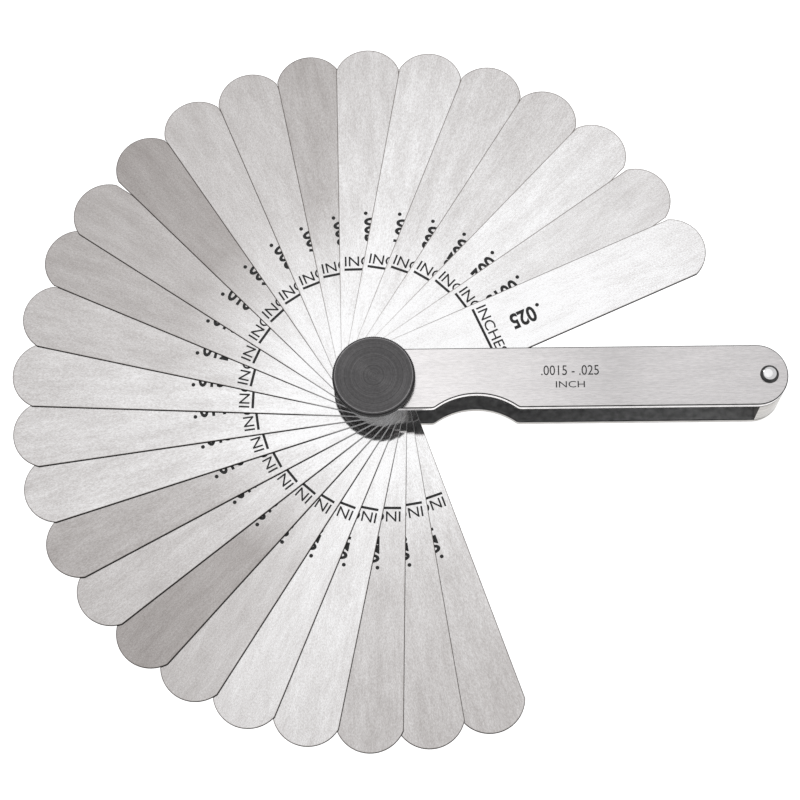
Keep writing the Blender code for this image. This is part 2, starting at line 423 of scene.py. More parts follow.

# %% [markdown]
# ### Plate steel, its rim, its inside, and the bar
#
# The case is brushed along its length, in long straight lines, with painted shade that darkens it towards
# the far end and painted light that lifts it again at the very end.  The rims are painted dark, a painted
# shade that draws a thin line round each plate.  The inner faces carry painted shade too: a dark, dull
# finish, darkest from the pivot to the notch.  The spacer is cut from plain bar, whose darker finish also
# goes on the lower plate's walls as painted shade.

# %% Plate steel
def plate_steel():
    material, tree, shader = new_material("plate steel")
    place = own_place(tree)
    along = part(tree, place, "X")
    # Painted shade: darker towards the far end.
    fade = remapped(tree, along, 12 * MM, 46 * MM, 0.87, 0.60)
    # Painted light: lighter again at the very end.
    lift = remapped(tree, along, 48 * MM, 62 * MM, 1.0, 1.13)
    clouds = varied(tree, stretched_noise(tree, place, (60.0, 160.0, 50.0), 4.0), 0.96, 1.04)
    streaks = varied(tree, stretched_noise(tree, place, (120.0, 6000.0, 50.0)), 0.97, 1.03)
    grain = stretched_noise(tree, place, (900.0, 7500.0, 50.0), 2.0)
    level = product(tree, fade, lift, clouds, streaks, varied(tree, grain, 0.89, 1.09))
    look = {
        "Base Color": grey(tree, level, (1.0, 0.97, 0.965)),
        "Metallic": 1.0,
        "Roughness": remapped(tree, streaks, 0.97, 1.03, 0.26, 0.18),
        "Normal": bump(tree, grain, 0.001 * MM),
    }
    feed(tree, shader, look)
    return material


def inside_painted_shade():
    material, tree, shader = new_material("inside painted shade")
    place = own_place(tree)
    noise = stretched_noise(tree, place, (700.0, 900.0, 700.0), 5.0)
    # Painted shade: darkest from the pivot to the notch, lighter towards the far end.
    shade_towards_pivot = remapped(tree, part(tree, place, "X"), 18 * MM, 65 * MM, 0.5, 1.15)
    level = product(tree, varied(tree, noise, 0.17, 0.31), shade_towards_pivot)
    roughness = varied(tree, noise, 0.45, 0.6)
    feed(tree, shader, {"Base Color": grey(tree, level), "Metallic": 0.8, "Roughness": roughness})
    return material


PLATE_STEEL = plate_steel()
INSIDE_PAINTED_SHADE = inside_painted_shade()
# Rims painted nearly black: painted shade that draws a dark line round each plate and round the rivet's
# head.
rim_shine = {"Metallic": 0.5, "Specular IOR Level": 0.2}
RIM_PAINTED_SHADE = plain_finish("rim painted shade", (500.0, 500.0, 500.0), 4.0, (0.02, 0.10), (0.5, 0.35), **rim_shine)
# Plain bar for the spacer; on the lower plate's walls its darker grey is painted shade.
BAR_STEEL_AND_WALL_SHADE = plain_finish(
    "bar steel and wall shade", (400.0, 400.0, 3000.0), 4.0, (0.34, 0.54), (0.4, 0.3), (1.0, 0.965, 0.92), Metallic=1.0
)
print("made", ", ".join(steel.name for steel in (PLATE_STEEL, RIM_PAINTED_SHADE, INSIDE_PAINTED_SHADE, BAR_STEEL_AND_WALL_SHADE)))

# %% [markdown]
# ### Polished steel and black oxide
#
# The rivet, washer and post are polished, with only faint clouds.  The lock screw is black: its rings
# come from noise on the distance to the axis, as a lathe tool leaves them when it feeds inwards.  Turned
# rings spread light across themselves, which the shader's anisotropy does, so lamps show as fans.
# A painted highlight lightens a thin ring at the corner before the chamfer, and the chamfer and knurl
# darken towards the rim.

# %% Polished steel and black oxide
HEAD_RADIUS = (HEAD_HIGH.x - HEAD_LOW.x) / 2
HEAD_CHAMFER = 0.5 * MM
HIGHLIGHT_RING_WIDTH = 0.20 * MM
HIGHLIGHT_RING_SHARE = 2.8  # how much lighter the painted highlight ring is
RIM_DARKENING_SHARE = 0.25
RIM_DARKENING_WIDTH = 0.2 * MM
RING_COUNT = 5200.0  # cells a metre, out from the axis
BROAD_COUNT = 900.0


def black_oxide():
    material, tree, shader = new_material("black oxide")
    place = own_place(tree)
    flat = add_node(tree, "ShaderNodeMapping", {"Vector": place, "Scale": (1.0, 1.0, 0.0)}).outputs[0]
    radius = add_node(tree, "ShaderNodeVectorMath", {0: flat}, operation="LENGTH").outputs["Value"]
    rings = noise_at(tree, combine(tree, maths(tree, "MULTIPLY", radius, RING_COUNT)), 2.0)
    broad = noise_at(tree, combine(tree, maths(tree, "MULTIPLY", radius, BROAD_COUNT), 7.0), 1.0)
    mottle = stretched_noise(tree, place, (2500.0, 2500.0, 2500.0), 4.0)
    corner = HEAD_RADIUS - HEAD_CHAMFER
    near_corner = {0: radius, 1: corner, 2: HIGHLIGHT_RING_WIDTH / 2}
    highlight_ring = add_node(tree, "ShaderNodeMath", near_corner, operation="COMPARE").outputs[0]
    level = product(
        tree,
        varied(tree, rings, 0.072, 0.150),
        remapped(tree, broad, 0.35, 0.65, 0.88, 1.12),
        varied(tree, mottle, 0.85, 1.15),
        # Painted highlight: a lighter ring at the corner before the chamfer.
        remapped(tree, highlight_ring, 0.0, 1.0, 1.0, HIGHLIGHT_RING_SHARE),
        # Darker towards the rim, over the chamfer and knurl.
        remapped(tree, radius, corner + HIGHLIGHT_RING_WIDTH, HEAD_RADIUS - RIM_DARKENING_WIDTH, 1.0, RIM_DARKENING_SHARE),
    )
    look = {
        "Base Color": grey(tree, level, (1.0, 0.97, 0.98)),
        "Metallic": 0.85,
        "Roughness": remapped(tree, broad, 0.35, 0.65, 0.3, 0.42),
        "Anisotropic": 0.75,
        "Anisotropic Rotation": 0.25,
        "Tangent": add_node(tree, "ShaderNodeTangent", direction_type="RADIAL", axis="Z").outputs[0],
        "Normal": bump(tree, rings, 0.004 * MM),
    }
    feed(tree, shader, look)
    return material


POLISHED_STEEL = plain_finish(
    "polished steel", (900.0, 900.0, 900.0), 4.0, (0.84, 0.93), (0.07, 0.13), Metallic=1.0
)
BLACK_OXIDE = black_oxide()
print("made", POLISHED_STEEL.name, "and", BLACK_OXIDE.name)

# %% [markdown]
# ### Etched black
#
# Numbers and lines are etched into the blades and filled black.  The fill is matt and a little uneven.

# %% Etched black
ETCHED_BLACK = plain_finish("etched black", (5000.0, 5000.0, 5000.0), 3.0, (0.008, 0.03), (0.5, 0.8))
print("made", ETCHED_BLACK.name)

# %% [markdown]
# ## Mesh helpers
#
# Flat pieces are cut from sheet, so each starts as an outline, and its sharp rims are eased a little, as
# on real sheet steel.  Shading stays flat on the big faces and smooth round the curves, because edges
# steeper than a small angle are marked sharp.

# %% Helpers for meshes
SHARP_ANGLE = math.radians(20)
LEVEL = 0.99  # a normal's upward share on a level face
UPRIGHT = 0.05  # and on an upright wall
WELD = 0.0001 * MM
RIM_SEGMENTS = 2


def shift(x=0.0, y=0.0, z=0.0):
    """The matrix of a plain move."""
    return Matrix.Translation((x, y, z))


def plain_mesh(obj, name):
    """A plain copy of the object as its modifiers leave it; the object itself is removed."""
    bpy.context.view_layer.update()
    graph = bpy.context.evaluated_depsgraph_get()
    mesh = bpy.data.meshes.new_from_object(
        obj.evaluated_get(graph), preserve_all_data_layers=True, depsgraph=graph
    )
    bpy.data.objects.remove(obj, do_unlink=True)
    mesh.name = name
    return mesh


def smooth(mesh):
    mesh.shade_smooth()
    mesh.set_sharp_from_angle(angle=SHARP_ANGLE)


def mesh_of(work, name):
    """The bmesh as a new mesh; the bmesh itself is freed."""
    mesh = bpy.data.meshes.new(name)
    work.to_mesh(mesh)
    work.free()
    return mesh


def weld_and_face_out(mesh, distance=WELD):
    work = bmesh.new()
    work.from_mesh(mesh)
    bmesh.ops.remove_doubles(work, verts=work.verts, dist=distance)
    bmesh.ops.recalc_face_normals(work, faces=work.faces)
    work.to_mesh(mesh)
    work.free()


def ease_rims(mesh, width):
    """Bevel every edge between a level face and an upright one."""
    work = bmesh.new()
    work.from_mesh(mesh)
    rims = []
    for edge in work.edges:
        level = [abs(face.normal.z) > LEVEL for face in edge.link_faces]
        if sorted(level) == [False, True]:
            rims.append(edge)
    look = {"segments": RIM_SEGMENTS, "profile": 0.5, "affect": "EDGES", "clamp_overlap": True}
    bmesh.ops.bevel(work, geom=rims, offset=width, **look)
    work.to_mesh(mesh)
    work.free()


def cone_mesh(name, low_radius, high_radius, height, sides):
    """A cone or cylinder with its middle at the origin."""
    work = bmesh.new()
    radii = {"radius1": low_radius, "radius2": high_radius}
    bmesh.ops.create_cone(work, cap_ends=True, segments=sides, depth=height, **radii)
    return mesh_of(work, name)


print("mesh helpers ready")

# %% [markdown]
# ## The blades, by Geometry Nodes
#
# All blades are one shape at many thicknesses and angles, which is a job for one node tree.  It draws
# the tip and tail arcs, joins their points into one closed outline, fills it round the post hole and
# raises it by the thickness.  Before the blade is turned to its place, the tree stores where each point
# lies on it, so that the grain follows the blade.  Its edges get their own steel.

# %% The blade tree
ARC_POINTS = 49
HOLE_POINTS = 96


def new_tree(name, numbers, steels, counts=()):
    """An empty Geometry Nodes tree with these named inputs, and the sockets that carry them."""
    tree = bpy.data.node_groups.new(name, "GeometryNodeTree")
    for kind, labels in (("Float", numbers), ("Material", steels), ("Int", counts)):
        for label in labels:
            tree.interface.new_socket(label, in_out="INPUT", socket_type=f"NodeSocket{kind}")
    tree.interface.new_socket("Geometry", in_out="OUTPUT", socket_type="NodeSocketGeometry")
    return tree, tree.nodes.new("NodeGroupInput").outputs


def join(tree, *parts):
    made = tree.nodes.new("GeometryNodeJoinGeometry")
    for part in parts:
        tree.links.new(part, made.inputs[0])
    return made.outputs[0]


def store(tree, geometry, name, kind, value):
    inputs = {"Geometry": geometry, "Name": name, "Value": value}
    settings = {"data_type": kind, "domain": "POINT"}
    return add_node(tree, "GeometryNodeStoreNamedAttribute", inputs, **settings).outputs[0]


def end_tree(tree, geometry, steel, sides=None, side_steel=None):
    """Every tree ends in real geometry with its steel on it, and maybe another steel on its sides."""
    real = add_node(tree, "GeometryNodeRealizeInstances", {"Geometry": geometry}).outputs[0]
    done = add_node(tree, "GeometryNodeSetMaterial", {"Geometry": real, "Material": steel}).outputs[0]
    if sides:
        sided = {"Geometry": done, "Selection": sides, "Material": side_steel}
        done = add_node(tree, "GeometryNodeSetMaterial", sided).outputs[0]
    add_node(tree, "NodeGroupOutput", {0: done})


def arc_points(tree, radius, start, sweep, shift):
    """Points along an arc whose centre is moved along X by shift."""
    inputs = {"Resolution": ARC_POINTS, "Radius": radius, "Start Angle": start, "Sweep Angle": sweep}
    curve = add_node(tree, "GeometryNodeCurveArc", inputs, mode="RADIUS").outputs["Curve"]
    moved = add_node(tree, "GeometryNodeTransform", {"Geometry": curve, "Translation": shift}).outputs[0]
    return add_node(tree, "GeometryNodeCurveToPoints", {"Curve": moved}, mode="EVALUATED").outputs["Points"]


def blade_outline(tree, given):
    half = maths(tree, "MULTIPLY", given["Width"], 0.5)
    spread = maths(tree, "ARCSINE", maths(tree, "DIVIDE", half, given["Tip Radius"]))
    tip_centre = combine(tree, maths(tree, "SUBTRACT", given["Reach"], given["Tip Radius"]))
    start = maths(tree, "MULTIPLY", spread, -1.0)
    tip = arc_points(tree, given["Tip Radius"], start, maths(tree, "MULTIPLY", spread, 2.0), tip_centre)
    tail = arc_points(tree, half, math.pi / 2, math.pi, (0.0, 0.0, 0.0))
    curve = add_node(tree, "GeometryNodePointsToCurves", {"Points": join(tree, tail, tip)}).outputs[0]
    return add_node(tree, "GeometryNodeSetSplineCyclic", {"Geometry": curve, "Cyclic": True}).outputs[0]


def blade_tree():
    numbers = ["Width", "Reach", "Tip Radius", "Hole Radius", "Thickness"]
    numbers += ["Bottom", "Angle", "Place", "Tone"]
    tree, given = new_tree("thickness blade", numbers, ["Face Steel", "Edge Steel"])
    hole_inputs = {"Resolution": HOLE_POINTS, "Radius": given["Hole Radius"]}
    hole = add_node(tree, "GeometryNodeCurvePrimitiveCircle", hole_inputs).outputs[0]
    outline = join(tree, blade_outline(tree, given), hole)
    sheet = add_node(tree, "GeometryNodeFillCurve", {"Curve": outline}, mode="NGONS").outputs[0]
    lift = {"Mesh": sheet, "Offset Scale": given["Thickness"], "Individual": False}
    raised = add_node(tree, "GeometryNodeExtrudeMesh", lift, mode="FACES")
    underside = add_node(tree, "GeometryNodeFlipFaces", {"Mesh": sheet}).outputs[0]
    shell = join(tree, raised.outputs["Mesh"], underside)
    solid = add_node(tree, "GeometryNodeMergeByDistance", {"Geometry": shell, "Distance": WELD}).outputs[0]
    place = add_node(tree, "GeometryNodeInputPosition").outputs[0]
    apart = combine(tree, 0.0, 0.0, given["Place"])
    leaf = add_node(tree, "ShaderNodeVectorMath", {0: place, 1: apart}, operation="ADD").outputs[0]
    solid = store(tree, solid, "leaf", "FLOAT_VECTOR", leaf)
    solid = store(tree, solid, "tone", "FLOAT", given["Tone"])
    moved = {"Geometry": solid, "Translation": combine(tree, 0.0, 0.0, given["Bottom"])}
    moved["Rotation"] = combine(tree, 0.0, 0.0, given["Angle"])
    placed = add_node(tree, "GeometryNodeTransform", moved).outputs[0]
    end_tree(tree, placed, given["Face Steel"], raised.outputs["Side"], given["Edge Steel"])
    return tree


BLADE_TREE = blade_tree()
print("the blade tree has", len(BLADE_TREE.nodes), "nodes")

# %% [markdown]
# A tree's values are set by each socket's identifier, before the object is first evaluated.  The result
# becomes a plain mesh, one for each blade, because each blade is a moving body of its own.

# %% Make the blades
BLADE_HOLE_RADIUS = 3.08 * MM
EASED = 0.07 * MM
EASED_SHARE = 0.25  # of a thin blade's thickness
BLADE_APART = 0.11  # how far apart the blades lie in the noise
USUAL_TONE = 0.62
BLADE_TONES = {
    0.43: ["blade_0090", "blade_0180"],
    0.52: ["blade_0060", "blade_0100", "blade_0110", "blade_0160"],
    0.73: ["blade_0025", "blade_0030", "blade_0050", "blade_0130", "blade_0140", "blade_0150"],
    0.80: ["blade_0015", "blade_0040", "blade_0200", "blade_0210"],
    0.86: ["blade_0020"],
    0.95: ["blade_0250"],
}


def tone_of(node):
    return next((tone for tone, nodes in BLADE_TONES.items() if node in nodes), USUAL_TONE)


def run_tree(tree, name, values):
    """The plain mesh that a tree makes from these values, by the names of its inputs."""
    obj = link(name, bpy.data.meshes.new(name))
    modifier = obj.modifiers.new("nodes", "NODES")
    modifier.node_group = tree
    for item in tree.interface.items_tree:
        if item.in_out == "INPUT":
            modifier[item.identifier] = values[item.name]
    return plain_mesh(obj, name)


def add_blade(node, place):
    low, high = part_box(node)
    thickness = high.z - low.z
    values = {
        "Width": BLADE_WIDTH,
        "Reach": BLADE_REACH,
        "Tip Radius": BLADE_TIP_RADIUS,
        "Hole Radius": BLADE_HOLE_RADIUS,
        "Thickness": thickness,
        "Bottom": low.z,
        "Angle": BLADE_ANGLES[node],
        "Place": place * BLADE_APART,
        "Tone": tone_of(node),
        "Face Steel": GROUND_STEEL,
        "Edge Steel": EDGE_WITH_GAP_SHADE,
    }
    mesh = run_tree(BLADE_TREE, node + "_leaf", values)
    ease_rims(mesh, min(EASED, EASED_SHARE * thickness))
    smooth(mesh)
    # The eased rims take the edge finish too, with its painted shade.
    for face in mesh.polygons:
        if abs(face.normal.z) < LEVEL:
            face.material_index = mesh.materials.find(EDGE_WITH_GAP_SHADE.name)
    blade = link(node + "_leaf", mesh)
    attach(blade, node)
    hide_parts(node)
    return blade


blades = {node: add_blade(node, place) for place, node in enumerate(BLADE_ANGLES)}
print(len(blades), "blades,", sum(len(blade.data.polygons) for blade in blades.values()), "faces")

# %% [markdown]
# ## Lettering
#
# Each blade carries its thickness as a number, and a rule with the unit beside it.  The letters are text
# made into thin closed meshes.  A text's own size says little about how tall its letters come out, so
# each word is measured and scaled to the height it should have, then laid on its blade.

# %% Helper for lettering
INK_ABOVE = 0.008 * MM
INK_BELOW = 0.004 * MM
INK_THICKNESS = INK_ABOVE + INK_BELOW
LETTER_WELD = 0.0001  # of the font's own size
POINT_SIDES = 24


def words_mesh(words, height, stretch=1.0, weight=0.0):
    """Letters of this height with their lower left corner at the origin, and how wide they are."""
    curve = bpy.data.curves.new(words, "FONT")
    curve.body = words
    curve.extrude = 0.5  # each way, so that the letters are one unit thick
    curve.offset = weight
    curve.resolution_u = 4
    mesh = plain_mesh(link(words, curve), words)
    weld_and_face_out(mesh, LETTER_WELD)
    xs = [vertex.co.x for vertex in mesh.vertices]
    ys = [vertex.co.y for vertex in mesh.vertices]
    scale = height / (max(ys) - min(ys))
    mesh.transform(shift(-min(xs), -min(ys), 0.5))
    mesh.transform(Matrix.Diagonal((scale * stretch, scale, INK_THICKNESS, 1.0)))
    return mesh, (max(xs) - min(xs)) * scale * stretch


def bar_mesh(length, width):
    """A thin bar with its lower left corner at the origin."""
    work = bmesh.new()
    bmesh.ops.create_cube(work, size=1.0)
    mesh = mesh_of(work, "bar")
    mesh.transform(shift(0.5, 0.5, 0.5))
    mesh.transform(Matrix.Diagonal((length, width, INK_THICKNESS, 1.0)))
    return mesh


def point_mesh(radius):
    """A thin disc with its lowest point at the origin: the decimal point."""
    mesh = cone_mesh("point", radius, radius, 1.0, POINT_SIDES)
    mesh.transform(shift(0.0, radius, 0.5))
    mesh.transform(Matrix.Diagonal((1.0, 1.0, INK_THICKNESS, 1.0)))
    return mesh


def one_mesh(name, placed):
    """Join meshes, each with its matrix, into one."""
    work = bmesh.new()
    for mesh, matrix in placed:
        mesh.transform(matrix)
        work.from_mesh(mesh)
        bpy.data.meshes.remove(mesh)
    joined = mesh_of(work, name)
    joined.materials.append(ETCHED_BLACK)
    return joined


print("lettering helpers ready")

# %% [markdown]
# The rule and the unit run across the blade with their tops outwards, and the number reads from the tip
# towards the pivot.  So on the blade they are turned a quarter turn clockwise and half a turn.

# %% Letter the blades
RULE_ALONG = 23.3 * MM
RULE_WIDTH = 0.50 * MM
RULE_HALF_LENGTH = 5.4 * MM
UNIT_ALONG = 24.2 * MM
UNIT_HEIGHT = 2.1 * MM
UNIT_LENGTH = 10.6 * MM
NUMBER_ALONG = 35.4 * MM
NUMBER_ACROSS = 1.35 * MM
NUMBER_HEIGHT = 3.3 * MM
POINT_RADIUS = 0.38 * MM
POINT_GAP = 0.55 * MM


def digits_of(node):
    """The thickness in inches after its point: the fourth place only where it isn't nought."""
    digits = node[-4:]
    return digits[:-1] if digits.endswith("0") else digits


def add_blade_letters(node):
    blade_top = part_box(node)[1].z
    unit, unit_width = words_mesh("INCHES", UNIT_HEIGHT, weight=0.006)
    widen = Matrix.Diagonal((UNIT_LENGTH / unit_width, 1.0, 1.0, 1.0))
    digits, _ = words_mesh(digits_of(node), NUMBER_HEIGHT, stretch=0.82, weight=0.032)
    quarter = Matrix.Rotation(-math.pi / 2, 4, "Z")
    rule_place = shift(RULE_ALONG, RULE_HALF_LENGTH) @ quarter
    number_place = shift(NUMBER_ALONG, NUMBER_ACROSS) @ Matrix.Rotation(math.pi, 4, "Z")
    placed = [
        (bar_mesh(2 * RULE_HALF_LENGTH, RULE_WIDTH), rule_place),
        (unit, shift(UNIT_ALONG, UNIT_LENGTH / 2) @ quarter @ widen),
        (point_mesh(POINT_RADIUS), number_place),
        (digits, number_place @ shift(POINT_RADIUS + POINT_GAP)),
    ]
    mesh = one_mesh(node + "_letters", placed)
    mesh.transform(shift(z=blade_top - INK_BELOW) @ Matrix.Rotation(BLADE_ANGLES[node], 4, "Z"))
    letters = link(node + "_letters", mesh)
    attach(letters, node)


for node in BLADE_ANGLES:
    add_blade_letters(node)
print("lettered", ", ".join("." + digits_of(node) for node in list(BLADE_ANGLES)[:5]), "and the rest")

# %% [markdown]
# ## The side plates
#
# Two plates of one outline make the case: a round end about the pivot, a round far end, and a thumb
# notch on one side.  The outline is arcs joined by straight runs, drawn as a flat curve with its holes
# and given half its thickness each way, with its rims rolled inwards.  The lower plate is then
# counterbored for the post's foot and countersunk for the rivet's tail.

# %% The plate outline
NOTCH_X = 19.75 * MM
NOTCH_LENGTH = 17.5 * MM
NOTCH_DEPTH = 2.8 * MM
NOTCH_FILLET = 1.6 * MM
PLATE_EASED = 0.20 * MM
FINE_STEP = math.radians(3)


def arc(centre_x, centre_y, radius, start, end):
    """Points along an arc, both ends included."""
    steps = max(2, round(abs(end - start) / FINE_STEP))
    angles = [start + (end - start) * i / steps for i in range(steps + 1)]
    return [(centre_x + radius * math.cos(a), centre_y + radius * math.sin(a)) for a in angles]


def notch_points():
    """The thumb notch, towards +X: a fillet, the finger's arc, and a fillet."""
    half = NOTCH_LENGTH / 2
    radius = (half**2 + NOTCH_DEPTH**2) / (2 * NOTCH_DEPTH) - NOTCH_FILLET
    arc_y = -PLATE_RADIUS + NOTCH_DEPTH - radius
    fillet_y = -PLATE_RADIUS + NOTCH_FILLET
    turn = math.acos((fillet_y - arc_y) / (radius + NOTCH_FILLET))
    offset = (radius + NOTCH_FILLET) * math.sin(turn)
    start = arc(NOTCH_X - offset, fillet_y, NOTCH_FILLET, -math.pi / 2, -math.pi / 2 + turn)
    finger = arc(NOTCH_X, arc_y, radius, math.pi / 2 + turn, math.pi / 2 - turn)
    end = arc(NOTCH_X + offset, fillet_y, NOTCH_FILLET, -math.pi / 2 - turn, -math.pi / 2)
    return start + finger[1:-1] + end


def plate_outline():
    far_end = arc(CASE_REACH - PLATE_RADIUS, 0.0, PLATE_RADIUS, -math.pi / 2, math.pi / 2)
    pivot_end = arc(0.0, 0.0, PLATE_RADIUS, math.pi / 2, 3 * math.pi / 2)
    return far_end + pivot_end + notch_points()


def flat_mesh(name, outline, holes, bottom, thickness, eased):
    """A closed mesh cut from sheet that stands at the height bottom, its rims rolled in by eased."""
    curve = bpy.data.curves.new(name, "CURVE")
    curve.dimensions = "2D"
    curve.fill_mode = "BOTH"
    curve.extrude = thickness / 2 - eased
    curve.bevel_depth = eased
    curve.bevel_resolution = RIM_SEGMENTS
    curve.offset = -eased
    for points in [outline, *holes]:
        spline = curve.splines.new("POLY")
        spline.points.add(len(points) - 1)
        for point, (x, y) in zip(spline.points, points):
            point.co = (x, y, 0.0, 1.0)
        spline.use_cyclic_u = True
    mesh = plain_mesh(link(name, curve), name)
    mesh.transform(shift(z=bottom + thickness / 2))
    weld_and_face_out(mesh)
    return mesh


def hole(x, radius):
    return arc(x, 0.0, radius, 0.0, 2 * math.pi)[:-1]


print("the plate's outline has", len(plate_outline()), "points")

# %% [markdown]
# A Boolean with a cylinder or a cone cuts those.  The cutter reaches past the face it cuts, so that no
# two faces lie on each other, and it is removed once the cut has been made into plain mesh.

# %% Make the side plates
POST_RADIUS = 3.0 * MM
POST_FOOT_RADIUS = 4.5 * MM
POST_FOOT_HEIGHT = 0.82 * MM
RIVET_X = (RIVET_LOW.x + RIVET_HIGH.x) / 2
RIVET_RADIUS = 1.1 * MM
RIVET_HEAD_RADIUS = (RIVET_HIGH.x - RIVET_LOW.x) / 2
RIVET_TAIL_DEPTH = 0.8 * MM
PRESS_CLEARANCE = 0.05 * MM
CUTTER_SIDES = 96
BRUSHED, RIM, INSIDE, WALL = range(4)  # the order of a plate's finishes


def cut_round(mesh, x, low, low_radius, high, high_radius):
    """Cut a cone or cylinder between two heights out of the mesh."""
    tool_mesh = cone_mesh("cutter", low_radius, high_radius, high - low, CUTTER_SIDES)
    tool_mesh.transform(shift(x=x, z=(low + high) / 2))
    cutter = link("cutter", tool_mesh)
    blank = link("blank", mesh)
    boolean = blank.modifiers.new("cut", "BOOLEAN")
    boolean.operation = "DIFFERENCE"
    boolean.object = cutter
    done = plain_mesh(blank, mesh.name)
    bpy.data.objects.remove(cutter, do_unlink=True)
    return done


def plate_finishes(mesh, walls, inner_side=0):
    """Brushed faces, rims painted dark as shade, and painted shade on the inside, which looks up if
    inner_side is 1, down if -1.
    """
    smooth(mesh)
    mesh.materials.clear()
    for material in (PLATE_STEEL, RIM_PAINTED_SHADE, INSIDE_PAINTED_SHADE, walls):
        mesh.materials.append(material)
    for face in mesh.polygons:
        upward = abs(face.normal.z)
        face.use_smooth = upward < LEVEL
        if face.normal.z * inner_side > LEVEL:
            face.material_index = INSIDE
        elif upward < UPRIGHT:
            face.material_index = WALL
        elif upward < LEVEL:
            face.material_index = RIM
        else:
            face.material_index = BRUSHED


def finish_plate(name, node, mesh, walls, inner_side):
    plate_finishes(mesh, walls, inner_side)
    plate = link(name, mesh)
    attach(plate, "case")
    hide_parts(node)


def add_plates():
    holes = [hole(0.0, POST_RADIUS + PRESS_CLEARANCE), hole(RIVET_X, RIVET_RADIUS + PRESS_CLEARANCE)]
    upper = flat_mesh("upper_plate", plate_outline(), holes, PLATE_LOW.z, PLATE_THICKNESS, PLATE_EASED)
    lower = flat_mesh("lower_plate", plate_outline(), holes, 0.0, PLATE_THICKNESS, PLATE_EASED)
    seat = POST_FOOT_RADIUS + PRESS_CLEARANCE
    lower = cut_round(lower, 0.0, -POST_FOOT_HEIGHT, seat, POST_FOOT_HEIGHT, seat)
    slope = (RIVET_HEAD_RADIUS - RIVET_RADIUS) / RIVET_TAIL_DEPTH
    wide = RIVET_HEAD_RADIUS + PRESS_CLEARANCE + slope * RIVET_TAIL_DEPTH
    narrow = RIVET_RADIUS + PRESS_CLEARANCE
    lower = cut_round(lower, RIVET_X, -RIVET_TAIL_DEPTH, wide, RIVET_TAIL_DEPTH, narrow)
    finish_plate("upper_plate", "side_plate_top", upper, PLATE_STEEL, -1)
    # The lower plate's walls take the darker bar finish: painted shade that parts them from the white
    # floor.
    finish_plate("lower_plate", "side_plate_bottom", lower, BAR_STEEL_AND_WALL_SHADE, 1)
    return len(upper.polygons), len(lower.polygons)


print("faces on the plates:", add_plates())

# %% [markdown]
# ## The end spacer
#
# A rounded block fills the far end between the plates.  It is cut from thick bar and its sides are left
# as they are, unbrushed.  Its flat inner face squares off the slot.

# %% Make the end spacer
SPACER_CENTRE_X = CASE_REACH - PLATE_RADIUS
SPACER_EASED = 0.12 * MM


def add_spacer():
    spread = math.acos((SPACER_LOW.x - SPACER_CENTRE_X) / PLATE_RADIUS)
    outline = arc(SPACER_CENTRE_X, 0.0, PLATE_RADIUS, -spread, spread)
    holes = [hole(RIVET_X, RIVET_RADIUS + PRESS_CLEARANCE)]
    thickness = SPACER_HIGH.z - SPACER_LOW.z
    mesh = flat_mesh("spacer_block", outline, holes, SPACER_LOW.z, thickness, SPACER_EASED)
    plate_finishes(mesh, BAR_STEEL_AND_WALL_SHADE)
    spacer = link("spacer_block", mesh)
    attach(spacer, "case")
    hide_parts("end_spacer")


add_spacer()
print("spacer between", round(SPACER_LOW.x / MM, 1), "and", round(SPACER_HIGH.x / MM, 1), "mm")

# %% [markdown]
# ## Turned pieces
#
# The rivet, the washer and the lock screw are turned, so each is a profile spun about an upright axis
# with a Screw modifier.  A profile runs down its outer side, from the axis at the top to the axis at the
# bottom, which makes the faces look outwards.

# %% Helper for turned pieces
TURN_STEPS = 160


def turned_mesh(name, profile, x=0.0, steps=TURN_STEPS):
    mesh = bpy.data.meshes.new(name)
    edges = [(i, i + 1) for i in range(len(profile) - 1)]
    mesh.from_pydata([(radius, 0.0, height) for radius, height in profile], edges, [])
    obj = link(name, mesh)
    screw = obj.modifiers.new("turn", "SCREW")
    screw.axis = "Z"
    screw.steps = steps
    screw.render_steps = steps
    screw.use_merge_vertices = True
    screw.merge_threshold = WELD
    made = plain_mesh(obj, name)
    made.transform(shift(x=x))
    weld_and_face_out(made)
    smooth(made)
    return made


print("turned pieces have", TURN_STEPS, "steps")

# %% [markdown]
# ## The end rivet
#
# The rivet's head is a low polished dome, set with a flat-faced hammer: its top is nearly level and
# mirrors the soft box.  Its rim turns sharply down to the plate and is painted dark there, a painted shade.
# The tail is spread into the countersink and filed flush.

# %% Make the end rivet
RIVET_SEAT = PLATE_HIGH.z + 0.02 * MM
RIVET_RIM = 0.16 * MM
RIVET_TURN_STEPS = 96
DOME_STEPS = 24
DOME_POWER = 4.6
RIVET_RIM_SLOPE = 0.86  # a normal's upward share, below which the dome is painted dark as shade


def rivet_profile():
    """A flat-topped dome, a steep rim, the shank, and the flush tail."""
    rise = RIVET_HIGH.z - RIVET_SEAT - RIVET_RIM
    shares = [i / DOME_STEPS for i in range(DOME_STEPS + 1)]
    dome = [(RIVET_HEAD_RADIUS * share, RIVET_HIGH.z - rise * share**DOME_POWER) for share in shares]
    return dome + [
        (RIVET_HEAD_RADIUS, RIVET_SEAT + RIVET_RIM / 2),
        (RIVET_HEAD_RADIUS - RIVET_RIM / 2, RIVET_SEAT),
        (RIVET_RADIUS, RIVET_SEAT),
        (RIVET_RADIUS, RIVET_TAIL_DEPTH),
        (RIVET_HEAD_RADIUS, 0.0),
        (0.0, 0.0),
    ]


def add_rivet():
    mesh = turned_mesh("rivet", rivet_profile(), RIVET_X, RIVET_TURN_STEPS)
    mesh.materials.append(POLISHED_STEEL)
    mesh.materials.append(RIM_PAINTED_SHADE)
    for face in mesh.polygons:
        # The steep rim faces get the dark rim finish: painted shade.
        face.material_index = int(UPRIGHT < face.normal.z < RIVET_RIM_SLOPE)
    rivet = link("rivet", mesh)
    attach(rivet, "case")
    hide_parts("end_rivet")


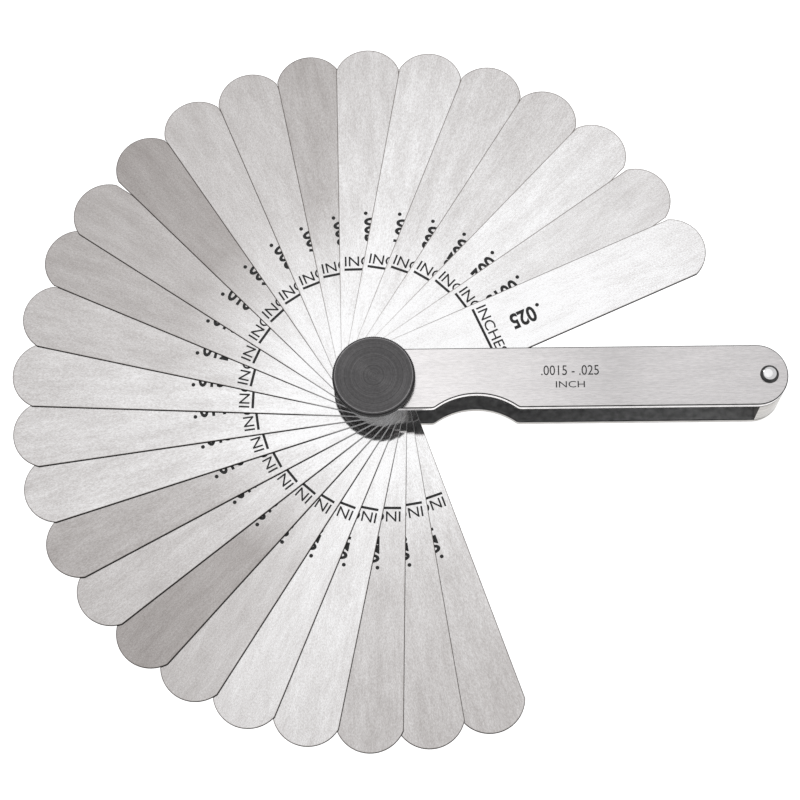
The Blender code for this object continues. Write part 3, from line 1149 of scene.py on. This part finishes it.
add_rivet()
print("rivet head", round(2 * RIVET_HEAD_RADIUS / MM, 2), "mm across")

# %% [markdown]
# ## The washer
#
# A thin hard washer rides under the lock screw's head, so that turning the screw doesn't drag on the case.

# %% Make the washer
WASHER_RADIUS = (WASHER_HIGH.x - WASHER_LOW.x) / 2
SHANK_RADIUS = 1.9 * MM
WASHER_EASE = 0.05 * MM
WASHER_CLEARANCE = 0.06 * MM


def washer_profile():
    """A ring's section, closed on itself, from its inner top edge outwards and down."""
    inner = SHANK_RADIUS + WASHER_CLEARANCE
    low, high = WASHER_LOW.z, WASHER_HIGH.z
    return [
        (inner, high),
        (WASHER_RADIUS - WASHER_EASE, high),
        (WASHER_RADIUS, high - WASHER_EASE),
        (WASHER_RADIUS, low + WASHER_EASE),
        (WASHER_RADIUS - WASHER_EASE, low),
        (inner, low),
        (inner, high),
    ]


def add_washer():
    mesh = turned_mesh("thin_washer", washer_profile())
    mesh.materials.append(POLISHED_STEEL)
    washer = link("thin_washer", mesh)
    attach(washer, "lock_washer")
    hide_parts("lock_washer")


add_washer()
print("washer", round(2 * WASHER_RADIUS / MM, 1), "mm across")

# %% [markdown]
# ## The lock screw
#
# Its head is a thin black disc.  The lathe leaves shallow rings on the face, so the profile itself rises
# and falls by a hundredth of a millimetre on its way out.  A chamfer leads from the face to the knurl.

# %% Make the lock screw
HEAD_BOTTOM = WASHER_HIGH.z + 0.02 * MM
KNURL_DEPTH = 0.10 * MM
RING_PITCH = 0.46 * MM
RING_DEPTH = 0.012 * MM
RING_POINTS = 6
CENTRE_DIMPLE = 0.05 * MM
DIMPLE_RADIUS = 0.35 * MM
CHAMFER_DROP = HEAD_CHAMFER * 0.8
FOOT_CHAMFER = 0.2 * MM


def face_height(radius):
    """The turned face: a ripple, and a small dimple where the tool stopped at the centre."""
    ripple = RING_DEPTH / 2 * (1 - math.cos(2 * math.pi * radius / RING_PITCH))
    dimple = CENTRE_DIMPLE * max(0.0, 1 - radius / DIMPLE_RADIUS)
    return HEAD_HIGH.z - ripple - dimple


def screw_profile():
    core = HEAD_RADIUS - KNURL_DEPTH
    edge = HEAD_RADIUS - HEAD_CHAMFER
    count = round(edge / RING_PITCH * RING_POINTS)
    radii = [edge * i / count for i in range(count)]
    return [(radius, face_height(radius)) for radius in radii] + [
        (edge, HEAD_HIGH.z),
        (core, HEAD_HIGH.z - CHAMFER_DROP),
        (core, HEAD_BOTTOM + FOOT_CHAMFER),
        (core - FOOT_CHAMFER, HEAD_BOTTOM),
        (SHANK_RADIUS, HEAD_BOTTOM),
        (SHANK_RADIUS, HEAD_LOW.z),
        (0.0, HEAD_LOW.z),
    ]


def add_lock_screw():
    mesh = turned_mesh("knob", screw_profile())
    mesh.materials.append(BLACK_OXIDE)
    knob = link("knob", mesh)
    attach(knob, "lock_screw")
    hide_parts("lock_screw")
    return len(mesh.polygons)


print("faces on the lock screw:", add_lock_screw())

# %% [markdown]
# ### The knurl, by Geometry Nodes
#
# The rim is knurled so that a thumb can turn it: fine upright ridges all round.  The tree sets points on
# a circle, puts one small block on each, turns it so that a corner points outwards, and makes it real.

# %% Make the knurl
KNURL_COUNT = 132
KNURL_FILL = 0.95  # the share of the rim that the ridges cover
KNURL_LIFT = 0.15 * MM
KNURL_DROP = HEAD_CHAMFER * 0.9


def knurl_tree():
    numbers = ["Radius", "Ridge Width", "Ridge Height", "Middle"]
    tree, given = new_tree("knurl", numbers, ["Steel"], counts=["Count"])
    circle_inputs = {"Vertices": given["Count"], "Radius": given["Radius"]}
    circle = add_node(tree, "GeometryNodeMeshCircle", circle_inputs).outputs[0]
    size = combine(tree, given["Ridge Width"], given["Ridge Width"], given["Ridge Height"])
    ridge = add_node(tree, "GeometryNodeMeshCube", {"Size": size}).outputs["Mesh"]
    place = add_node(tree, "GeometryNodeInputPosition").outputs[0]
    heading = maths(tree, "ARCTAN2", part(tree, place, "Y"), part(tree, place, "X"))
    turn = combine(tree, 0.0, 0.0, maths(tree, "ADD", heading, math.pi / 4))
    inputs = {"Points": circle, "Instance": ridge, "Rotation": turn}
    ridges = add_node(tree, "GeometryNodeInstanceOnPoints", inputs).outputs[0]
    lifted = {"Geometry": ridges, "Translation": combine(tree, 0.0, 0.0, given["Middle"])}
    moved = add_node(tree, "GeometryNodeTransform", lifted).outputs[0]
    end_tree(tree, moved, given["Steel"])
    return tree


def add_knurl():
    bottom = HEAD_BOTTOM + KNURL_LIFT
    top = HEAD_HIGH.z - KNURL_DROP
    width = 2 * math.pi * HEAD_RADIUS / KNURL_COUNT / math.sqrt(2) * KNURL_FILL
    values = {
        "Radius": HEAD_RADIUS - width / math.sqrt(2),
        "Count": KNURL_COUNT,
        "Ridge Width": width,
        "Ridge Height": top - bottom,
        "Middle": (top + bottom) / 2,
        "Steel": BLACK_OXIDE,
    }
    mesh = run_tree(knurl_tree(), "knob_knurl", values)
    knurl = link("knob_knurl", mesh)
    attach(knurl, "lock_screw")
    return len(mesh.polygons)


print("faces on the knurl:", add_knurl())

# %% [markdown]
# ## The post and the case's marks
#
# The post hardly shows, so its CAD solid stays and only gets its finish.  The case carries the range of
# the set and its unit, small and black, near the middle of the upper plate.

# %% The post, and the marks on the case
MARK_X = 37.9 * MM
RANGE_LINE_Y = 0.30 * MM
UNIT_LINE_Y = -2.20 * MM
RANGE_HEIGHT = 2.0 * MM
CASE_UNIT_HEIGHT = 1.3 * MM


def centred(words, height, x, y, stretch):
    mesh, width = words_mesh(words, height, stretch=stretch)
    return mesh, shift(x - width / 2, y, PLATE_HIGH.z - INK_BELOW)


def add_case_marks():
    lines = [
        centred(".0015 - .025", RANGE_HEIGHT, MARK_X, RANGE_LINE_Y, 0.83),
        centred("INCH", CASE_UNIT_HEIGHT, MARK_X, UNIT_LINE_Y, 1.3),
    ]
    marks = link("case_marks", one_mesh("case_marks", lines))
    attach(marks, "case")


def finish_post():
    post = frame["nodes"]["pivot_post"]
    post.data.materials.clear()
    post.data.materials.append(POLISHED_STEEL)


add_case_marks()
finish_post()
print("case marked and post finished")
